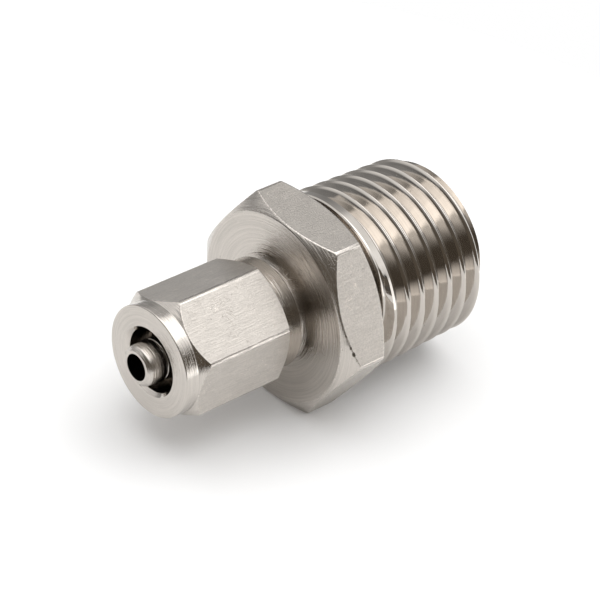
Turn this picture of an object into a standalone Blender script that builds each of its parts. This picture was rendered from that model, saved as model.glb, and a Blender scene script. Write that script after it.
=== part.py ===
# Male straight connector: a hexagon body with a tapered pipe thread at one end and a
# barbed tube stem at the other, and the union nut that clamps the tube on the stem.
# Metres, +Z up, +X from the stem to the pipe thread. It lies on one flat of its hexagon.
from math import ceil, cos, pi, radians, sin, sqrt, tan

import bmesh
import bpy
from mathutils import Matrix

MM = 0.001

# Lengths along the axis, end to end
STEM_OUT = 1.04 * MM
NUT_LENGTH = 9.90 * MM
NUT_GAP = 0.80 * MM
HEX_LENGTH = 3.75 * MM
THREAD_LENGTH = 10.35 * MM

# Hexagon of the body, with the turned cones that break its corners
BODY_FLATS = 14.0 * MM
BODY_EDGE = 0.12 * MM
BODY_FACE_DIAMETER = 13.7 * MM
BODY_FRONT_SLOPE = radians(37)
BODY_REAR_SLOPE = radians(32)

# Tapered pipe thread: 55 degree form, 1 in 16 on the diameter
GAUGE_DIAMETER = 13.157 * MM
GAUGE_LENGTH = 6.0 * MM
PITCH = 1.337 * MM
TAPER = 1 / 16
FLANK = radians(27.5)
THREAD_DEPTH = 0.856 * MM
THREAD_ROOT = 0.22 * MM
THREAD_CHAMFER = 0.65 * MM
GROOVE_START = 0.75 * MM
GROOVE_START_ANGLE = radians(147)
RELIEF_WIDTH = 0.90 * MM
RELIEF_DEPTH = 0.52 * MM

# Way through the body
FLOW_BORE = 1.9 * MM
PORT_BORE = 8.0 * MM
PORT_DEPTH = 9.5 * MM
PORT_CHAMFER = 0.25 * MM
DRILL_POINT = radians(118)

# Tube stem with its barbs
STEM_DIAMETER = 3.0 * MM
TIP_FACE = 0.17 * MM
TIP_SLOPE = radians(45)
BARB_COUNT = 2
BARB_LENGTH = 1.39 * MM
BARB_RISE = 0.10 * MM
BARB_GROOVE = 0.15 * MM

# Threaded stub that carries the nut
STUB_LENGTH = 5.8 * MM
STUB_CHAMFER = 0.30 * MM
NECK_FILLET = 0.70 * MM
FILLET_STEPS = 5

# Union nut
NUT_FLATS = 8.0 * MM
NUT_WALL = 0.50 * MM
NUT_EDGE = 0.18 * MM
NUT_TURN = radians(34.8)
NUT_FRONT_COLLAR = 1.02 * MM
NUT_REAR_COLLAR = 1.18 * MM
NUT_COLLAR_INSET = 0.05 * MM
NUT_FRONT_SLOPE = radians(45)
NUT_REAR_SLOPE = radians(29)
NUT_EDGE_BREAK = 0.10 * MM
NUT_REAR_CHAMFER = 0.30 * MM
TUBE_DIAMETER = 4.0 * MM
TUBE_CLEARANCE = 0.25 * MM
MOUTH_CHAMFER = 0.25 * MM
CLAMP_SLOPE = radians(35)
SEAT_ROOM = 1.0 * MM
RUN_CLEARANCE = 0.30 * MM

# Facets round a turned piece, and how far a blank or a cutter reaches past what it meets
STEPS = 60
OVERRUN = 0.30 * MM
WELD = 0.00001

# The nut's bore leaves its wall, and the stub fills the bore at the mean of its fine thread
NUT_BORE = NUT_FLATS - 2 * NUT_WALL
STUB_DIAMETER = NUT_BORE - 2 * RUN_CLEARANCE

# Stations along the axis, from the middle of the whole length
TOTAL_LENGTH = STEM_OUT + NUT_LENGTH + NUT_GAP + HEX_LENGTH + THREAD_LENGTH
STEM_TIP = -TOTAL_LENGTH / 2
NUT_FRONT = STEM_TIP + STEM_OUT
HEX_FRONT = NUT_FRONT + NUT_LENGTH + NUT_GAP
HEX_REAR = HEX_FRONT + HEX_LENGTH
THREAD_END = HEX_REAR + THREAD_LENGTH
AXIS_HEIGHT = BODY_FLATS / 2


def clear_scene():
    for item in list(bpy.data.objects):
        bpy.data.objects.remove(item, do_unlink=True)


def make_collection(name):
    group = bpy.data.collections.new(name)
    bpy.context.scene.collection.children.link(group)
    return group


def make_material(name, colour, roughness):
    material = bpy.data.materials.new(name)
    material.use_nodes = True
    shader = material.node_tree.nodes["Principled BSDF"]
    shader.inputs["Base Color"].default_value = (*colour, 1)
    shader.inputs["Metallic"].default_value = 1.0
    shader.inputs["Roughness"].default_value = roughness
    return material


def add_object(name, form, collection):
    mesh = bpy.data.meshes.new(name)
    form.to_mesh(mesh)
    form.free()
    item = bpy.data.objects.new(name, mesh)
    collection.objects.link(item)
    return item


def add_cutter(name, form, collection):
    cutter = add_object(name, form, collection)
    cutter.hide_render = True
    cutter.display_type = "WIRE"
    return cutter


def turned(name, profile, collection):
    # A closed section of (along the axis, radius) points, revolved about X
    form = bmesh.new()
    verts = [form.verts.new((along, 0, radius)) for along, radius in profile]
    for here, after in zip(verts, verts[1:] + verts[:1]):
        form.edges.new((here, after))
    item = add_object(name, form, collection)
    screw = item.modifiers.new("Turn", "SCREW")
    screw.axis = "X"
    screw.angle = 2 * pi
    screw.steps = STEPS
    screw.render_steps = STEPS
    screw.use_merge_vertices = True
    screw.merge_threshold = WELD
    return item


def hexagon_bar(flats, start, end, turn, edge):
    # Drawn bar along X, one corner at the turn from +Y, its long edges slightly broken
    form = bmesh.new()
    along_x = Matrix.Rotation(turn, 4, "X") @ Matrix.Rotation(pi / 2, 4, "Y")
    place = Matrix.Translation(((start + end) / 2, 0, 0)) @ along_x
    radius = flats / sqrt(3)
    bmesh.ops.create_cone(form, cap_ends=True, segments=6, radius1=radius, radius2=radius,
                          depth=end - start, matrix=place)
    long_edges = [e for e in form.edges if abs(e.verts[0].co.x - e.verts[1].co.x) > WELD]
    bmesh.ops.bevel(form, geom=long_edges, offset=edge, segments=2, profile=0.5,
                    affect="EDGES")
    return form


def add_boolean(item, cutter, operation):
    cut = item.modifiers.new(cutter.name, "BOOLEAN")
    cut.operation = operation
    cut.object = cutter
    cut.solver = "EXACT"


def finish(item, material):
    # Settle the modifiers into one mesh, so that its sharp edges can be marked
    graph = bpy.context.evaluated_depsgraph_get()
    mesh = bpy.data.meshes.new_from_object(item.evaluated_get(graph))
    item.modifiers.clear()
    item.data = mesh
    mesh.materials.clear()
    mesh.materials.append(material)
    mesh.shade_smooth()
    mesh.set_sharp_from_angle(angle=radians(25))


def cone_points(station, radius, slope, far_radius, direction):
    # A cone that widens from a face at the station; direction 1 runs towards +X
    return [(station, radius), (station + direction * (far_radius - radius) * tan(slope), far_radius)]


def crest_radius(along):
    gauge_plane = THREAD_END - GAUGE_LENGTH
    return GAUGE_DIAMETER / 2 + (gauge_plane - along) * TAPER / 2


def stem_profile():
    # Tip, barbs and plain stem up to the face of the stub
    peak = STEM_DIAMETER / 2
    low = peak - BARB_RISE
    tip_radius = FLOW_BORE / 2 + TIP_FACE
    tip_end = STEM_TIP + (low - tip_radius) / tan(TIP_SLOPE)
    points = [(STEM_TIP, FLOW_BORE / 2), (STEM_TIP, tip_radius), (tip_end, low)]
    for barb in range(BARB_COUNT):
        back = STEM_TIP + (barb + 1) * BARB_LENGTH + barb * BARB_GROOVE
        points += [(back, peak), (back, low), (back + BARB_GROOVE, low)]
    points += [(points[-1][0] + BARB_RISE, peak), (HEX_FRONT - STUB_LENGTH, peak)]
    return points


def stub_profile():
    # Face, lead-in and running surface of the stub, ending in the fillet at the hexagon
    radius = STUB_DIAMETER / 2
    front = HEX_FRONT - STUB_LENGTH
    points = [(front, radius - STUB_CHAMFER), (front + STUB_CHAMFER, radius)]
    for step in range(FILLET_STEPS + 1):
        swing = pi / 2 * step / FILLET_STEPS
        along = HEX_FRONT - NECK_FILLET + NECK_FILLET * sin(swing)
        points.append((along, radius + NECK_FILLET - NECK_FILLET * cos(swing)))
    return points


def hexagon_profile():
    # The blank stands proud of the bar's corners, so only its cones cut them
    face = BODY_FACE_DIAMETER / 2
    proud = BODY_FLATS / sqrt(3) + OVERRUN
    front = cone_points(HEX_FRONT, face, BODY_FRONT_SLOPE, proud, 1)
    rear = cone_points(HEX_REAR, face, BODY_REAR_SLOPE, proud, -1)
    return front + rear[::-1]


def thread_blank_profile():
    # Relief behind the hexagon, lead to the crests, tapered crests and end chamfer
    relief_end = HEX_REAR + RELIEF_WIDTH
    relief = crest_radius(relief_end) - RELIEF_DEPTH
    crest_start = relief_end + RELIEF_DEPTH
    chamfer_start = THREAD_END - THREAD_CHAMFER
    end_radius = crest_radius(chamfer_start) - THREAD_CHAMFER
    return [(HEX_REAR, relief), (relief_end, relief), (crest_start, crest_radius(crest_start)),
            (chamfer_start, crest_radius(chamfer_start)), (THREAD_END, end_radius)]


def port_profile():
    # Drilled port in the threaded end, its drill point and the small bore to the stem
    radius = PORT_BORE / 2
    floor = THREAD_END - PORT_DEPTH
    point_end = floor - (radius - FLOW_BORE / 2) / tan(DRILL_POINT / 2)
    return [(THREAD_END, radius + PORT_CHAMFER), (THREAD_END - PORT_CHAMFER, radius),
            (floor, radius), (point_end, FLOW_BORE / 2)]


def thread_groove():
    # One V section swept along the tapered right-hand helix, from the relief past the end
    start = HEX_REAR + GROOVE_START
    run = THREAD_END + PITCH - start
    turns = run / PITCH
    count = ceil(turns * STEPS)
    root_half = THREAD_ROOT / 2
    mouth_half = root_half + (THREAD_DEPTH + OVERRUN) * tan(FLANK)
    form = bmesh.new()
    rings = []
    for step in range(count + 1):
        angle = GROOVE_START_ANGLE + 2 * pi * step / STEPS
        centre = start + PITCH * step / STEPS
        ring = []
        for offset, height in ((-mouth_half, OVERRUN), (-root_half, -THREAD_DEPTH),
                               (root_half, -THREAD_DEPTH), (mouth_half, OVERRUN)):
            radius = crest_radius(centre) + height
            ring.append(form.verts.new((centre + offset, radius * cos(angle), radius * sin(angle))))
        rings.append(ring)
    for here, after in zip(rings, rings[1:]):
        for side in range(4):
            other = (side + 1) % 4
            form.faces.new((here[side], here[other], after[other], after[side]))
    form.faces.new(rings[0])
    form.faces.new(rings[-1])
    bmesh.ops.recalc_face_normals(form, faces=form.faces[:])
    return form


def connector_body(parts, cutters, material):
    profile = stem_profile() + stub_profile() + hexagon_profile() + thread_blank_profile()
    profile += port_profile()
    body = turned("connector_body", profile, parts)
    body.location = (0, 0, AXIS_HEIGHT)
    bar_form = hexagon_bar(BODY_FLATS, STEM_TIP - OVERRUN, THREAD_END + OVERRUN, 0, BODY_EDGE)
    bar = add_cutter("body_bar", bar_form, cutters)
    groove = add_cutter("thread_groove", thread_groove(), cutters)
    for cutter in (bar, groove):
        cutter.location = body.location
    add_boolean(body, bar, "INTERSECT")
    add_boolean(body, groove, "DIFFERENCE")
    finish(body, material)


def nut_outer_profile():
    collar = NUT_FLATS / 2 - NUT_COLLAR_INSET
    proud = NUT_FLATS / sqrt(3) + OVERRUN
    front = cone_points(NUT_FRONT_COLLAR, collar, NUT_FRONT_SLOPE, proud, 1)
    rear = cone_points(NUT_LENGTH - NUT_REAR_COLLAR, collar, NUT_REAR_SLOPE, proud, -1)
    edge = NUT_EDGE_BREAK
    return [(0, collar - edge), (edge, collar), *front, *rear[::-1],
            (NUT_LENGTH - edge, collar), (NUT_LENGTH, collar - edge)]


def nut_inner_profile():
    # From the rear: bore over the stub, the cone that clamps the tube, and the tube's mouth
    thread = NUT_BORE / 2
    hole = TUBE_DIAMETER / 2 + TUBE_CLEARANCE
    cone_start = NUT_LENGTH + NUT_GAP - STUB_LENGTH - SEAT_ROOM
    cone_end = cone_start - (thread - hole) / tan(CLAMP_SLOPE)
    return [(NUT_LENGTH, thread + NUT_REAR_CHAMFER), (NUT_LENGTH - NUT_REAR_CHAMFER, thread),
            (cone_start, thread), (cone_end, hole), (MOUTH_CHAMFER, hole), (0, hole + MOUTH_CHAMFER)]


def union_nut(parts, cutters, material):
    nut = turned("union_nut", nut_outer_profile() + nut_inner_profile(), parts)
    nut.location = (NUT_FRONT, 0, AXIS_HEIGHT)
    bar_form = hexagon_bar(NUT_FLATS, -OVERRUN, NUT_LENGTH + OVERRUN, NUT_TURN, NUT_EDGE)
    bar = add_cutter("nut_bar", bar_form, cutters)
    bar.location = nut.location
    add_boolean(nut, bar, "INTERSECT")
    finish(nut, material)


def build():
    clear_scene()
    parts = make_collection("male_straight_connector")
    cutters = make_collection("cutters")
    nickel = make_material("nickel_plated_brass", (0.74, 0.71, 0.67), 0.28)
    connector_body(parts, cutters, nickel)
    union_nut(parts, cutters, nickel)


build()
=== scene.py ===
from bisect import bisect
from math import atan2, cos, floor, pi, radians, sin, sqrt, tan

import bmesh
import bpy
from mathutils import Matrix, Vector


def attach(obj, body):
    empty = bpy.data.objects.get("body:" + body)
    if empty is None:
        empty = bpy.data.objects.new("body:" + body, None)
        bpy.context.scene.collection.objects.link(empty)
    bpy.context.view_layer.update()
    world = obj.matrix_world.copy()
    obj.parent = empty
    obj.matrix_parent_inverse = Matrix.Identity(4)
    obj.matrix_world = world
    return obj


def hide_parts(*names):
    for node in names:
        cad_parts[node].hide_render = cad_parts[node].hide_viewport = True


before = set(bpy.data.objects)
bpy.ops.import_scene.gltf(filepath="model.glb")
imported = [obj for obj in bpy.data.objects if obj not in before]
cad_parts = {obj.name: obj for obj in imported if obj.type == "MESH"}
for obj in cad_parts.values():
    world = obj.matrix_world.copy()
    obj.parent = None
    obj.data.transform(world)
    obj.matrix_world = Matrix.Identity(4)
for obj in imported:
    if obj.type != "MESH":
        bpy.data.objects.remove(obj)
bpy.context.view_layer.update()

# The connector body is turned from hexagon brass bar in one piece and plated with nickel. Its
# stations run from the stem's tip to the thread's end, in millimetres from the middle.
STEM_TIP, HEX_FRONT, HEX_REAR, THREAD_END = -12.92, -1.18, 2.57, 12.92
BODY_FLATS = 14.0
AXIS_HEIGHT = BODY_FLATS / 2
FLATS, TURNED, THREAD, POLISHED, BORE, EDGES, NICKS = range(7)


def put(tree, kind, inputs=None, **settings):
    # A node with its settings; each input is a value or another node's output
    node = tree.nodes.new(kind)
    for name, value in settings.items():
        setattr(node, name, value)
    for key, value in (inputs or {}).items():
        if isinstance(value, bpy.types.NodeSocket):
            tree.links.new(value, node.inputs[key])
        else:
            node.inputs[key].default_value = value
    return node


def maths(tree, operation, *values, clamp=False):
    inputs = dict(enumerate(values))
    return put(tree, "ShaderNodeMath", inputs, operation=operation, use_clamp=clamp).outputs[0]


def ramp(tree, value, low, high, to_low=0.0, to_high=1.0):
    inputs = {"Value": value, "From Min": low, "From Max": high, "To Min": to_low, "To Max": to_high}
    return put(tree, "ShaderNodeMapRange", inputs, interpolation_type="SMOOTHSTEP").outputs["Result"]


def noise(tree, vector, scale, detail=2.0, rough=0.5, bend=0.0):
    inputs = {"Vector": vector, "Scale": scale, "Detail": detail, "Roughness": rough, "Distortion": bend}
    return put(tree, "ShaderNodeTexNoise", inputs).outputs[0]


def new_group(name, inputs, outputs):
    group = bpy.data.node_groups.new(name, "ShaderNodeTree")
    for label, kind, default in inputs:
        socket = group.interface.new_socket(label, in_out="INPUT", socket_type=kind)
        socket.default_value = default
    for label, kind in outputs:
        group.interface.new_socket(label, in_out="OUTPUT", socket_type=kind)
    return group, group.nodes.new("NodeGroupInput").outputs, group.nodes.new("NodeGroupOutput").inputs


def millimetres(tree):
    # Place on the piece in millimetres, measured from the connector's axis
    place = put(tree, "ShaderNodeTexCoord").outputs["Object"]
    inputs = {"Vector": place, "Location": (0, 0, -AXIS_HEIGHT), "Scale": (1000, 1000, 1000)}
    return put(tree, "ShaderNodeMapping", inputs).outputs[0]


def lathe_marks_group():
    # Rings that the turning tool leaves: they change along the axis and with the radius
    inputs = [("Rings", "NodeSocketFloat", 4.0), ("Breaks", "NodeSocketFloat", 1.0)]
    tree, given, result = new_group("lathe_marks", inputs, [("Marks", "NodeSocketFloat")])
    x, y, z = put(tree, "ShaderNodeSeparateXYZ", {0: millimetres(tree)}).outputs
    squares = [maths(tree, "MULTIPLY", side, side) for side in (y, z)]
    radius = maths(tree, "SQRT", maths(tree, "ADD", *squares))
    across = maths(tree, "MULTIPLY", maths(tree, "MULTIPLY_ADD", radius, 1.37, x), given["Rings"])
    around = [maths(tree, "MULTIPLY", maths(tree, "DIVIDE", side, radius), given["Breaks"])
              for side in (y, z)]
    vector = put(tree, "ShaderNodeCombineXYZ", {0: across, 1: around[0], 2: around[1]}).outputs[0]
    tree.links.new(ramp(tree, noise(tree, vector, 1.0, 3.0, 0.65), 0.3, 0.7), result["Marks"])
    return tree


def bar_grain_group():
    # Drawn bar under the plate: faint lines along the bar over a fine pebbled grain
    inputs = [("Lines", "NodeSocketFloat", 6.0), ("Pebbles", "NodeSocketFloat", 0.5)]
    tree, given, result = new_group("bar_grain", inputs, [("Marks", "NodeSocketFloat")])
    place = millimetres(tree)
    stretched = put(tree, "ShaderNodeMapping", {"Vector": place, "Scale": (0.08, 1, 1)}).outputs[0]
    lines = noise(tree, stretched, given["Lines"], 3.0, 0.6)
    pebbles = noise(tree, place, 9.0, 3.0, 0.65, 0.3)
    mixed = put(tree, "ShaderNodeMix", {"Factor": given["Pebbles"], "A": lines, "B": pebbles}).outputs[0]
    tree.links.new(ramp(tree, mixed, 0.32, 0.68), result["Marks"])
    return tree


def nickel_plate_group():
    # Satin nickel over the marks, with cloudy tone, handling scuffs and a few dark pits
    inputs = [("Tone", "NodeSocketColor", (0.78, 0.73, 0.67, 1)), ("Roughness", "NodeSocketFloat", 0.25),
              ("Marks", "NodeSocketFloat", 0.5), ("Mark Tone", "NodeSocketFloat", 0.1),
              ("Mark Depth", "NodeSocketFloat", 0.5), ("Scuffs", "NodeSocketFloat", 0.5),
              ("Pits", "NodeSocketFloat", 0.5)]
    outputs = [("Color", "NodeSocketColor"), ("Roughness", "NodeSocketFloat"),
               ("Height", "NodeSocketFloat")]
    tree, given, result = new_group("nickel_plate", inputs, outputs)
    place = millimetres(tree)
    cloud = maths(tree, "SUBTRACT", noise(tree, place, 0.55, 3.0, 0.6), 0.5)
    veins = maths(tree, "SUBTRACT", noise(tree, place, 1.5, 1.0, 0.5, 1.2), 0.5)
    scratches = ramp(tree, maths(tree, "ABSOLUTE", veins), 0.0, 0.012, 1.0, 0.0)
    where = ramp(tree, noise(tree, place, 0.6, 1.0), 0.52, 0.6)
    scuff = maths(tree, "MULTIPLY", maths(tree, "MULTIPLY", scratches, where), given["Scuffs"])
    spots = put(tree, "ShaderNodeTexVoronoi", {"Vector": place, "Scale": 1.1}).outputs["Distance"]
    pit = maths(tree, "MULTIPLY", ramp(tree, spots, 0.03, 0.07, 1.0, 0.0), given["Pits"])
    marked = maths(tree, "MULTIPLY", maths(tree, "SUBTRACT", given["Marks"], 0.5), given["Mark Tone"])
    level = maths(tree, "MULTIPLY_ADD", cloud, 0.16, 1.0)
    for part, share in ((marked, 1.0), (scuff, 0.25), (pit, -0.5)):
        level = maths(tree, "MULTIPLY_ADD", part, share, level)
    shade = put(tree, "ShaderNodeCombineXYZ", {0: level, 1: level, 2: level}).outputs[0]
    colour = put(tree, "ShaderNodeMix", {"Factor": 1.0, "A": given["Tone"], "B": shade}, data_type="RGBA",
                 blend_type="MULTIPLY")
    tree.links.new(colour.outputs[2], result["Color"])
    rough = maths(tree, "MULTIPLY_ADD", cloud, 0.12, given["Roughness"])
    rough = maths(tree, "MULTIPLY_ADD", pit, 0.2, rough)
    rough = maths(tree, "MULTIPLY_ADD", scuff, 0.12, rough, clamp=True)
    tree.links.new(rough, result["Roughness"])
    height = maths(tree, "MULTIPLY", given["Marks"], given["Mark Depth"])
    height = maths(tree, "MULTIPLY_ADD", pit, -2.0, height)
    height = maths(tree, "MULTIPLY_ADD", scuff, 0.6, height)
    tree.links.new(height, result["Height"])
    return tree


lathe_marks, bar_grain, nickel_plate = lathe_marks_group(), bar_grain_group(), nickel_plate_group()


def plated(name, tone, roughness, marks, settings, mark_tone, mark_depth, scuffs, pits, swirl=0.0):
    # One finish: the marks under the plate, the plate over them, and a bump of about a hundredth
    # of a millimetre. A swirl draws a turned face's highlights out across its rings.
    material = bpy.data.materials.new(name)
    material.use_nodes = True
    tree = material.node_tree
    shader = tree.nodes["Principled BSDF"]
    under = put(tree, "ShaderNodeGroup", node_tree=marks)
    for label, value in settings.items():
        under.inputs[label].default_value = value
    plate = put(tree, "ShaderNodeGroup", node_tree=nickel_plate)
    for label, value in (("Tone", (*tone, 1)), ("Roughness", roughness), ("Mark Tone", mark_tone),
                         ("Mark Depth", mark_depth), ("Scuffs", scuffs), ("Pits", pits)):
        plate.inputs[label].default_value = value
    tree.links.new(under.outputs["Marks"], plate.inputs["Marks"])
    bump = put(tree, "ShaderNodeBump",
               {"Strength": 1.0, "Distance": 0.00001, "Height": plate.outputs["Height"]})
    tree.links.new(plate.outputs["Color"], shader.inputs["Base Color"])
    tree.links.new(plate.outputs["Roughness"], shader.inputs["Roughness"])
    tree.links.new(bump.outputs[0], shader.inputs["Normal"])
    shader.inputs["Metallic"].default_value = 1.0
    if swirl:
        x, y, z = put(tree, "ShaderNodeSeparateXYZ", {0: millimetres(tree)}).outputs
        around = put(tree, "ShaderNodeCombineXYZ", {0: 0.0, 1: maths(tree, "MULTIPLY", z, -1.0), 2: y})
        shader.inputs["Anisotropic"].default_value = swirl
        tree.links.new(around.outputs[0], shader.inputs["Tangent"])
    return material


nickel, dirt = (0.535, 0.499, 0.459), (0.14, 0.12, 0.10)
finishes = [
    plated("body_flats", nickel, 0.36, bar_grain, {"Lines": 8.0, "Pebbles": 0.7},
           mark_tone=0.30, mark_depth=1.1, scuffs=1.9, pits=0.8),
    plated("body_turned", nickel, 0.22, lathe_marks, {"Rings": 6.0, "Breaks": 1.0},
           mark_tone=0.18, mark_depth=1.0, scuffs=0.4, pits=0.4, swirl=0.6),
    plated("body_thread", nickel, 0.08, lathe_marks, {"Rings": 7.0, "Breaks": 0.6},
           mark_tone=0.06, mark_depth=0.05, scuffs=0.1, pits=0.2),
    plated("body_stem", nickel, 0.10, lathe_marks, {"Rings": 9.0, "Breaks": 0.6},
           mark_tone=0.08, mark_depth=0.25, scuffs=0.2, pits=0.2, swirl=0.3),
    plated("body_bore", nickel, 0.13, lathe_marks, {"Rings": 4.0, "Breaks": 0.5},
           mark_tone=0.2, mark_depth=0.6, scuffs=0.1, pits=0.2),
    plated("worn_edges", nickel, 0.24, bar_grain, {"Lines": 13.0, "Pebbles": 0.1},
           mark_tone=0.6, mark_depth=0.3, scuffs=0.3, pits=0.3),
    plated("nicks", dirt, 0.5, bar_grain, {"Lines": 9.0, "Pebbles": 0.6},
           mark_tone=0.4, mark_depth=1.0, scuffs=0.0, pits=0.0)]


def settled(form, finish):
    # Faces point outwards and carry the finish's number, unless they have one already
    bmesh.ops.recalc_face_normals(form, faces=form.faces)
    if finish is not None:
        for face in form.faces:
            face.material_index = finish
    mesh = bpy.data.meshes.new("solid")
    for plate in finishes:
        mesh.materials.append(plate)
    form.to_mesh(mesh)
    form.free()
    return mesh


def rounded(profile, segments=4):
    # Points of (along, radius, corner); a corner above 0 is cut back that far into an arc
    points = []
    for i, (along, radius, corner) in enumerate(profile):
        here = Vector((along, radius))
        if corner == 0:
            points.append(here)
            continue
        before = (Vector(profile[i - 1][:2]) - here).normalized() * corner
        after = (Vector(profile[(i + 1) % len(profile)][:2]) - here).normalized() * corner
        for step in range(segments + 1):
            t = step / segments
            points.append(here + before * (1 - t) ** 2 + after * t ** 2)
    return points


def spun(form, steps, travel=0, arcs=16):
    # Spin the section through one arc, then copy the arc round; a travel makes the turn a helix
    bmesh.ops.spin(form, geom=form.verts[:] + form.edges[:], cent=(0, 0, 0), axis=(1, 0, 0),
                   dvec=(travel / steps, 0, 0), angle=2 * pi / arcs, steps=steps // arcs)
    bmesh.ops.spin(form, geom=form.verts[:] + form.edges[:] + form.faces[:], cent=(0, 0, 0),
                   axis=(1, 0, 0), dvec=(travel / arcs, 0, 0), angle=2 * pi * (arcs - 1) / arcs,
                   steps=arcs - 1, use_duplicate=True)
    bmesh.ops.remove_doubles(form, verts=form.verts, dist=1e-4)


def turned(profile, finish, steps=240):
    # A section that starts and ends on the axis, spun into a closed solid
    form = bmesh.new()
    verts = [form.verts.new((along, radius, 0)) for along, radius in rounded(profile)]
    for pair in zip(verts, verts[1:]):
        form.edges.new(pair)
    spun(form, steps)
    return settled(form, finish)


def combined(base, *steps):
    # The base mesh after its cuts and joins, each given as (operation, mesh)
    item = bpy.data.objects.new("base", base)
    bpy.context.scene.collection.objects.link(item)
    tools = []
    for operation, mesh in steps:
        tool = bpy.data.objects.new("tool", mesh)
        bpy.context.scene.collection.objects.link(tool)
        cut = item.modifiers.new("cut", "BOOLEAN")
        cut.operation, cut.object, cut.solver = operation, tool, "EXACT"
        tools.append(tool)
    result = bpy.data.meshes.new_from_object(item.evaluated_get(bpy.context.evaluated_depsgraph_get()))
    for used in [item, *tools]:
        bpy.data.objects.remove(used)
    return result


def hexagon_bar(flats, start, end, turn, edge):
    # Drawn bar along X, with one corner at the turn from +Y and its long edges rounded
    form = bmesh.new()
    along_x = Matrix.Rotation(turn, 4, "X") @ Matrix.Rotation(pi / 2, 4, "Y")
    radius = flats / sqrt(3)
    middle = Matrix.Translation(((start + end) / 2, 0, 0))
    bmesh.ops.create_cone(form, cap_ends=True, segments=6, radius1=radius, radius2=radius,
                          depth=end - start, matrix=middle @ along_x)
    for face in form.faces:
        face.material_index = FLATS
    long_edges = [e for e in form.edges if abs(e.verts[0].co.x - e.verts[1].co.x) > 0.1]
    bmesh.ops.bevel(form, geom=long_edges, offset=edge, segments=4, profile=0.5, affect="EDGES",
                    material=EDGES)
    return settled(form, None)


def eased(mesh, width, low=-99, high=99, sharpest=radians(30)):
    # Break the sharp edges that the turning tool left between two stations, but not the bar's own
    form = bmesh.new()
    form.from_mesh(mesh)
    bmesh.ops.dissolve_degenerate(form, dist=1e-4, edges=form.edges)
    sharp = [e for e in form.edges if e.is_manifold and e.calc_face_angle() > sharpest
             and abs(e.verts[0].co.x - e.verts[1].co.x) < 0.9 * e.calc_length()
             and all(low < v.co.x < high for v in e.verts)]
    bmesh.ops.bevel(form, geom=sharp, offset=width, segments=3, profile=0.5, affect="EDGES",
                    clamp_overlap=True, material=EDGES)
    form.to_mesh(mesh)
    form.free()
    return mesh


def threaded_rod(start, end, pitch, crest, section, groove_from, groove_angle, finish,
                 run_in=0.02, steps=240):
    # A helical grid whose rows follow the section (offset from the groove's middle, depth). The
    # groove begins at its station and angle, and reaches its full depth after run_in turns.
    form = bmesh.new()
    first = groove_from - pitch * groove_angle / (2 * pi)
    low = floor((start - first) / pitch) - 2
    high = floor((end - first) / pitch) + 2
    verts = [form.verts.new((first + pitch * turn + offset, 1, 0))
             for turn in range(low, high) for offset, depth in section]
    for pair in zip(verts, verts[1:]):
        form.edges.new(pair)
    spun(form, steps, travel=pitch)
    offsets, depths = zip(*sorted(section))
    deepest = depths[len(depths) // 2]
    for vert in form.verts:
        angle = atan2(vert.co.z, vert.co.y)
        swing = (angle - groove_angle) / (2 * pi)
        turns = (vert.co.x - groove_from) / pitch - swing
        offset = (turns - round(turns)) * pitch
        depth = depths[min(bisect(offsets, offset - 1e-4), len(depths) - 1)]
        ran = round(turns) + swing
        depth = max(depth - deepest * (1 - min(max(ran / run_in, 0), 1)), 0)
        radius = crest(vert.co.x) - depth
        vert.co.y, vert.co.z = radius * cos(angle), radius * sin(angle)
    for plane, side in ((start, True), (end, False)):
        bmesh.ops.bisect_plane(form, geom=form.verts[:] + form.edges[:] + form.faces[:], dist=1e-5,
                               plane_co=(plane, 0, 0), plane_no=(1, 0, 0), clear_inner=side,
                               clear_outer=not side)
    rim = [e for e in form.edges if e.is_boundary]
    bmesh.ops.holes_fill(form, edges=rim, sides=0)
    return settled(form, finish)


def groove_section(pitch, depth, flank, root, root_round, crest_round, worn=0.0, segments=4):
    # One V groove from land to land: a rounded root, and crests eased over the worn height
    shoulder = root + (depth - worn) * tan(flank)
    crest = shoulder + worn * tan(flank + radians(19))
    near, far = (root, depth, root_round), (shoulder, worn, 0.8 * worn)
    falling = [(-offset, height, corner) for offset, height, corner in (far, near)]
    half_pitch = pitch / 2
    section = [(-half_pitch, 0, 0), *falling, near, far, (crest, 0, crest_round), (half_pitch, 0, 0)]
    return [(offset, height) for offset, height in rounded(section, segments)[:-1]]


# Stem that the tube is pushed over: a bored tip, two barbs with rounded fronts and a plain shank.
barb_peak, barb_low, barb_front, barb_length, barb_groove = 1.5, 1.33, 1.42, 1.39, 0.13
flow_bore, tip_face, tip_length = 0.95, 0.20, 0.24
stem = [(STEM_TIP, 0, 0), (STEM_TIP, flow_bore + tip_face, 0.03),
        (STEM_TIP + tip_length, barb_front, 0.10)]
for barb in range(2):
    back = STEM_TIP + (barb + 1) * barb_length + barb * barb_groove
    stem += [(back, barb_peak, 0.03), (back, barb_low, 0.02), (back + barb_groove, barb_low, 0.02),
             (back + barb_groove + 0.04, barb_front + 0.02, 0.05)]
stem.append((stem[-1][0] + 0.12, barb_peak, 0.02))

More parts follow.
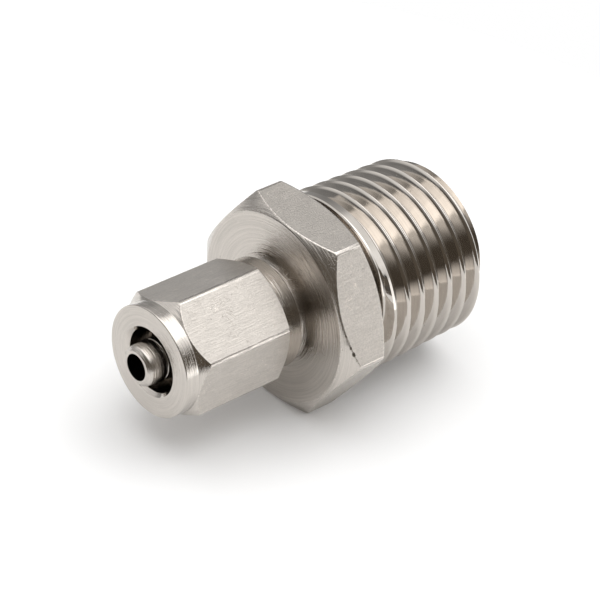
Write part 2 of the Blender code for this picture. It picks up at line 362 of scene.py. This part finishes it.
# Stub with the fine thread that carries the nut, its run-out, and the neck at the hexagon.
stub_length, stub_core, neck, neck_fillet = 5.8, 2.95, 3.05, 0.8
stub_front = HEX_FRONT - stub_length
stub_steps = [(stub_front + 0.3, barb_peak, 0), (stub_front + 0.3, stub_core, 0),
              (HEX_FRONT - 1.3, stub_core, 0), (HEX_FRONT - 1.1, neck, 0)]
for step in range(9):
    swing = pi / 2 * step / 8
    stub_steps.append((HEX_FRONT - neck_fillet + neck_fillet * sin(swing),
                       neck + neck_fillet - neck_fillet * cos(swing), 0))
FINE_PITCH, FINE_CREST, FINE_STEPS = 0.75, 3.46, 160
fine_from, fine_end, beyond_crest = stub_front - 0.5, HEX_FRONT - 0.78, 3.65
fine_section = groove_section(FINE_PITCH, depth=0.40, flank=radians(30), root=0.06, root_round=0.05,
                              crest_round=0.04, segments=2)
fine_rod = threaded_rod(stub_front, HEX_FRONT - 0.75, FINE_PITCH, lambda x: FINE_CREST, fine_section,
                        groove_from=fine_from, groove_angle=0, finish=POLISHED, steps=FINE_STEPS)
fine_envelope = turned([(stub_front, 0, 0), (stub_front, 3.05, 0.03), (stub_front + 0.6, beyond_crest, 0),
                        (HEX_FRONT - 1.25, beyond_crest, 0), (fine_end, 3.1, 0), (fine_end, 0, 0)],
                       POLISHED, FINE_STEPS)
fine_stub = combined(fine_rod, ("INTERSECT", fine_envelope))

# Hexagon for the 14 mm spanner, with the cones that the lathe cuts off its corners.
face_radius, proud = 6.85, 8.4
front_slope, rear_slope = tan(radians(37)), tan(radians(32))
cut_back = proud - face_radius
hexagon = [(HEX_FRONT, face_radius, 0), (HEX_FRONT + cut_back * front_slope, proud, 0),
           (HEX_REAR - cut_back * rear_slope, proud, 0), (HEX_REAR, face_radius, 0), (HEX_REAR, 0, 0)]
blank = turned(stem + stub_steps + hexagon, TURNED)
bar = hexagon_bar(BODY_FLATS, STEM_TIP - 0.5, HEX_REAR + 0.5, turn=0, edge=0.20)
body = eased(combined(blank, ("INTERSECT", bar)), 0.04, high=HEX_FRONT - 0.5)
body = eased(body, 0.08, low=HEX_FRONT - 0.1)

# Small nicks that handling left along the front edge of the flat beside the upper one.
form = bmesh.new()
half_flats, nick_radius = BODY_FLATS / 2, 0.13
for side, size in ((-1.5, 0.6), (-1.95, 0.9), (-2.4, 0.7), (-2.9, 1.0), (-3.4, 0.8)):
    edge_radius = sqrt(half_flats * half_flats + side * side)
    place = Vector((HEX_FRONT + (edge_radius - face_radius) * front_slope,
                    side / 2 - half_flats * cos(pi / 6), side * cos(pi / 6) + half_flats / 2))
    on_flat = Matrix.Translation(place) @ Matrix.Rotation(pi / 3, 4, "X")
    bmesh.ops.create_icosphere(form, subdivisions=2, radius=nick_radius,
                               matrix=on_flat @ Matrix.Diagonal((size, 1.5 * size, size, 1)))
nicks = settled(form, NICKS)

# Tapered pipe thread, 1/4 inch, 1 in 16: relief behind the hexagon, rounded crests and roots.
PITCH, GAUGE_RADIUS, GAUGE_PLANE = 1.337, 13.157 / 2, THREAD_END - 6.0


def pipe_crest(along):
    return GAUGE_RADIUS + (GAUGE_PLANE - along) / 32


relief_end, relief_depth, end_chamfer = HEX_REAR + 0.42, 0.65, 0.65
relief = pipe_crest(relief_end) - relief_depth
pipe_section = groove_section(PITCH, depth=0.856, flank=radians(27.5), root=0.125, root_round=0.12,
                              crest_round=0.03, worn=0.12, segments=5)
pipe_rod = threaded_rod(HEX_REAR - 0.5, THREAD_END + 0.5, PITCH, pipe_crest, pipe_section,
                        groove_from=HEX_REAR + 0.71, groove_angle=radians(136), finish=THREAD,
                        run_in=0.10)
end_radius = pipe_crest(THREAD_END - end_chamfer) - end_chamfer
envelope = turned([(HEX_REAR - 0.4, 0, 0), (HEX_REAR - 0.4, relief, 0), (relief_end, relief, 0.1),
                   (relief_end + 0.12, relief + relief_depth - 0.1, 0),
                   (relief_end + 0.5, relief + relief_depth + 0.3, 0),
                   (THREAD_END - end_chamfer - 0.4, end_radius + end_chamfer + 0.4, 0),
                   (THREAD_END, end_radius, 0.05), (THREAD_END, 0, 0)], THREAD)
pipe_thread = combined(pipe_rod, ("INTERSECT", envelope))

# Way through: the small bore from the stem meets the drilled port in the threaded end.
port, port_floor = 4.0, THREAD_END - 9.5
point_end = port_floor - (port - flow_bore) / tan(radians(59))
way = turned([(STEM_TIP - 0.5, 0, 0), (STEM_TIP - 0.5, flow_bore, 0), (point_end, flow_bore, 0),
              (port_floor, port, 0.05), (THREAD_END - 0.25, port, 0.03),
              (THREAD_END + 0.2, port + 0.45, 0), (THREAD_END + 0.2, 0, 0)], BORE)
body = combined(body, ("UNION", fine_stub), ("UNION", pipe_thread), ("DIFFERENCE", way),
                ("DIFFERENCE", nicks))


def placed(name, mesh, shift):
    # Close the hairline seams that the cuts left, then turn millimetres on the axis into metres
    # in the part's frame
    form = bmesh.new()
    form.from_mesh(mesh)
    bmesh.ops.remove_doubles(form, verts=form.verts, dist=4e-4)
    bmesh.ops.dissolve_degenerate(form, dist=2e-4, edges=form.edges)
    bmesh.ops.holes_fill(form, edges=[e for e in form.edges if e.is_boundary], sides=0)
    form.to_mesh(mesh)
    form.free()
    mesh.transform(Matrix.Scale(0.001, 4) @ Matrix.Translation((shift, 0, AXIS_HEIGHT)))
    mesh.shade_smooth()
    mesh.set_sharp_from_angle(angle=radians(28))
    item = bpy.data.objects.new(name, mesh)
    bpy.context.scene.collection.objects.link(item)
    weighted = item.modifiers.new("Face weighted", "WEIGHTED_NORMAL")
    weighted.keep_sharp = True
    return item


connector_body = placed("body_metal", body, 0)
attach(connector_body, "body")
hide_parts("connector_body")

# The union nut is turned from smaller hexagon bar and plated the same way. It screws over the
# stub, and the cone inside it clamps the tube on the barbs. Its stations run from its front face.
NUT_FRONT, NUT_LENGTH, NUT_FLATS, NUT_TURN = -11.88, 9.9, 8.0, radians(34.8)
front_collar_end, rear_collar_start = 1.02, NUT_LENGTH - 1.18
collar, nut_proud, nut_edge = 3.95, 4.9, 0.10
nut_front_slope, nut_rear_slope = tan(radians(45)), tan(radians(29))
nut_cut_back = nut_proud - collar
nut_blank = turned([(0, 0, 0), (0, collar, nut_edge), (front_collar_end, collar, 0.03),
                    (front_collar_end + nut_cut_back * nut_front_slope, nut_proud, 0),
                    (rear_collar_start - nut_cut_back * nut_rear_slope, nut_proud, 0),
                    (rear_collar_start, collar, 0.03), (NUT_LENGTH, collar, nut_edge),
                    (NUT_LENGTH, 0, 0)], TURNED)
nut_bar = hexagon_bar(NUT_FLATS, -0.5, NUT_LENGTH + 0.5, NUT_TURN, edge=0.2)
nut = eased(combined(nut_blank, ("INTERSECT", nut_bar)), 0.06)

# Inside the nut: the countersunk mouth, the cone for the tube, the fine thread and its lead-in.
# The gap is left between nut and hexagon, and the seat stands clear of the stub's front.
tube_hole, nut_bore, ridge_radius, gap, clear = 2.25, 3.5, 3.1, 0.8, 1.0
seat = NUT_LENGTH + gap - stub_length - clear
nut_hole = turned([(-0.3, 0, 0), (-0.3, tube_hole + 0.55, 0), (0.25, tube_hole, 0.05),
                   (seat - (nut_bore - tube_hole) / tan(radians(35)), tube_hole, 0.05),
                   (seat, nut_bore, 0.03), (seat + 0.9, nut_bore, 0), (seat + 1.3, ridge_radius, 0),
                   (seat + 1.3, 0, 0)], BORE)
nut_rod = threaded_rod(seat + 0.7, NUT_LENGTH + 0.2, FINE_PITCH, lambda x: nut_bore, fine_section,
                       groove_from=fine_from - NUT_FRONT - 20 * FINE_PITCH, groove_angle=0, finish=BORE,
                       steps=FINE_STEPS)
lead_in = turned([(NUT_LENGTH - 0.7, 0, 0), (NUT_LENGTH - 0.7, 3.0, 0), (NUT_LENGTH, 3.72, 0),
                  (NUT_LENGTH + 0.3, 4.02, 0), (NUT_LENGTH + 0.3, 0, 0)], BORE)
nut = combined(nut, ("DIFFERENCE", nut_hole), ("DIFFERENCE", nut_rod), ("DIFFERENCE", lead_in))
union_nut = placed("nut_metal", nut, NUT_FRONT)
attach(union_nut, "nut")
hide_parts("union_nut")

union_nut.data.materials[FLATS] = plated(
    "nut_flats", nickel, 0.38, bar_grain, {"Lines": 12.0, "Pebbles": 0.5},
    mark_tone=0.26, mark_depth=0.7, scuffs=1.6, pits=0.6)
union_nut.data.materials[TURNED] = plated(
    "nut_turned", nickel, 0.13, lathe_marks, {"Rings": 8.0, "Breaks": 1.0},
    mark_tone=0.16, mark_depth=0.6, scuffs=0.3, pits=0.3, swirl=0.45)

# The studio: a white floor and backdrop, a pale room with a dark side for the metal to reflect,
# one soft lamp, and the camera where the photograph was taken from.
floor_mesh = bpy.data.meshes.new("floor")
form = bmesh.new()
bmesh.ops.create_circle(form, cap_ends=True, segments=96, radius=0.05)
form.to_mesh(floor_mesh)
form.free()
floor = bpy.data.objects.new("floor", floor_mesh)
bpy.context.scene.collection.objects.link(floor)
paint = bpy.data.materials.new("floor_white")
paint.use_nodes = True
tree = paint.node_tree
tree.nodes.clear()
ray = put(tree, "ShaderNodeLightPath").outputs
seen = maths(tree, "MAXIMUM", ray["Is Camera Ray"], ray["Is Glossy Ray"])
seen = maths(tree, "MAXIMUM", seen, ray["Is Transmission Ray"])
matt = put(tree, "ShaderNodeBsdfDiffuse", {"Color": (0.89, 0.89, 0.89, 1)})
lift = put(tree, "ShaderNodeEmission",
           {"Color": (1, 1, 1, 1), "Strength": maths(tree, "MULTIPLY", seen, 0.07)})
both = put(tree, "ShaderNodeAddShader", {0: matt.outputs[0], 1: lift.outputs[0]})
tree.links.new(both.outputs[0], put(tree, "ShaderNodeOutputMaterial").inputs["Surface"])
floor_mesh.materials.append(paint)

world = bpy.data.worlds.new("studio")
bpy.context.scene.world = world
world.use_nodes = True
tree = world.node_tree
tree.nodes.clear()
ray = put(tree, "ShaderNodeLightPath").outputs
way_out = put(tree, "ShaderNodeTexCoord").outputs["Generated"]
up = put(tree, "ShaderNodeSeparateXYZ", {0: way_out}).outputs[2]


def toward(azimuth, elevation):
    # A direction; azimuth 0 is +Y and 90 is +X
    a, e = radians(azimuth), radians(elevation)
    return Vector((sin(a) * cos(e), cos(a) * cos(e), sin(e)))


def panel(azimuth, elevation, full, gone, level):
    # A soft round patch of the room, full within the first angle and gone beyond the second
    inputs = {0: way_out, 1: toward(azimuth, elevation)}
    facing = put(tree, "ShaderNodeVectorMath", inputs, operation="DOT_PRODUCT").outputs["Value"]
    return ramp(tree, facing, cos(radians(gone)), cos(radians(full)), 0.0, level)


def blend(share, first, second):
    inputs = {"Factor": share, "A": first, "B": second}
    return put(tree, "ShaderNodeMix", inputs, data_type="RGBA").outputs[2]


# Walls that pale upwards, with a bright ceiling, lit patches of wall and light from the floor
walls = ramp(tree, up, 0.25, 0.65, 0.12, 0.58)
for patch in (panel(0, 90, 30, 35, 1.65), panel(100, 52, 22, 36, 0.60), panel(145, 48, 10, 26, 0.35),
              panel(-30, 38, 20, 38, 0.55), panel(5, 0, 25, 55, 0.28), panel(137, 2, 10, 19, 1.7),
              panel(124, 20, 9, 16, 0.9), panel(165, -14, 4, 34, 1.4),
              ramp(tree, up, -0.24, -0.10, 0.85, 0.0)):
    walls = maths(tree, "ADD", walls, patch)
dim_patch = panel(152, 17, 7, 14, 0.9)
walls = maths(tree, "MULTIPLY", walls, maths(tree, "SUBTRACT", 1.0, dim_patch))
pale = put(tree, "ShaderNodeCombineXYZ", {0: walls, 1: walls, 2: walls}).outputs[0]

# The camera's side of the room is dark brown, with a low band along one wall darker still
brown, dark_brown, white = (0.14, 0.122, 0.10, 1), (0.125, 0.103, 0.08, 1), (1, 1, 1, 1)
over_floor, under_ceiling = ramp(tree, up, -0.10, 0.18), ramp(tree, up, 0.45, 0.85, 1.0, 0.0)
behind = maths(tree, "MULTIPLY", panel(-146, 15, 61, 69, 1.0),
               maths(tree, "MULTIPLY", over_floor, under_ceiling))
band = ramp(tree, maths(tree, "ABSOLUTE", up), 0.18, 0.24, 1.0, 0.0)
low_wall = maths(tree, "MULTIPLY", panel(-100, 0, 32, 50, 1.0), band)
room = blend(low_wall, blend(behind, pale, brown), dark_brown)
shown = maths(tree, "MAXIMUM", ray["Is Camera Ray"], ray["Is Transmission Ray"])
light = put(tree, "ShaderNodeBackground", {"Color": blend(shown, room, white), "Strength": 1.0})
tree.links.new(light.outputs[0], put(tree, "ShaderNodeOutputWorld").inputs["Surface"])


def soft_lamp(name, azimuth, elevation, width, brightness):
    # A round soft box far away, as many degrees across as its width says
    data = bpy.data.lights.new(name, "SUN")
    data.angle = radians(width)
    data.energy = brightness * 2 * pi * (1 - cos(radians(width / 2)))
    lamp = bpy.data.objects.new(name, data)
    bpy.context.scene.collection.objects.link(lamp)
    lamp.rotation_euler = toward(azimuth, elevation).to_track_quat("Z", "Y").to_euler()


soft_lamp("key_lamp", 112, 62, 26, 0.5)

camera = bpy.data.objects.new("camera", bpy.data.cameras.new("camera"))
bpy.context.scene.collection.objects.link(camera)
bpy.context.scene.camera = camera
camera.data.sensor_width = 36
camera.data.lens = 166.27
camera.data.clip_start, camera.data.clip_end = 0.01, 20
camera.location = (-0.107029, -0.100638, 0.123581)
camera.rotation_euler = (radians(51.231), radians(-7.768), radians(-40.936))
bpy.context.scene.view_settings.view_transform = "Standard"
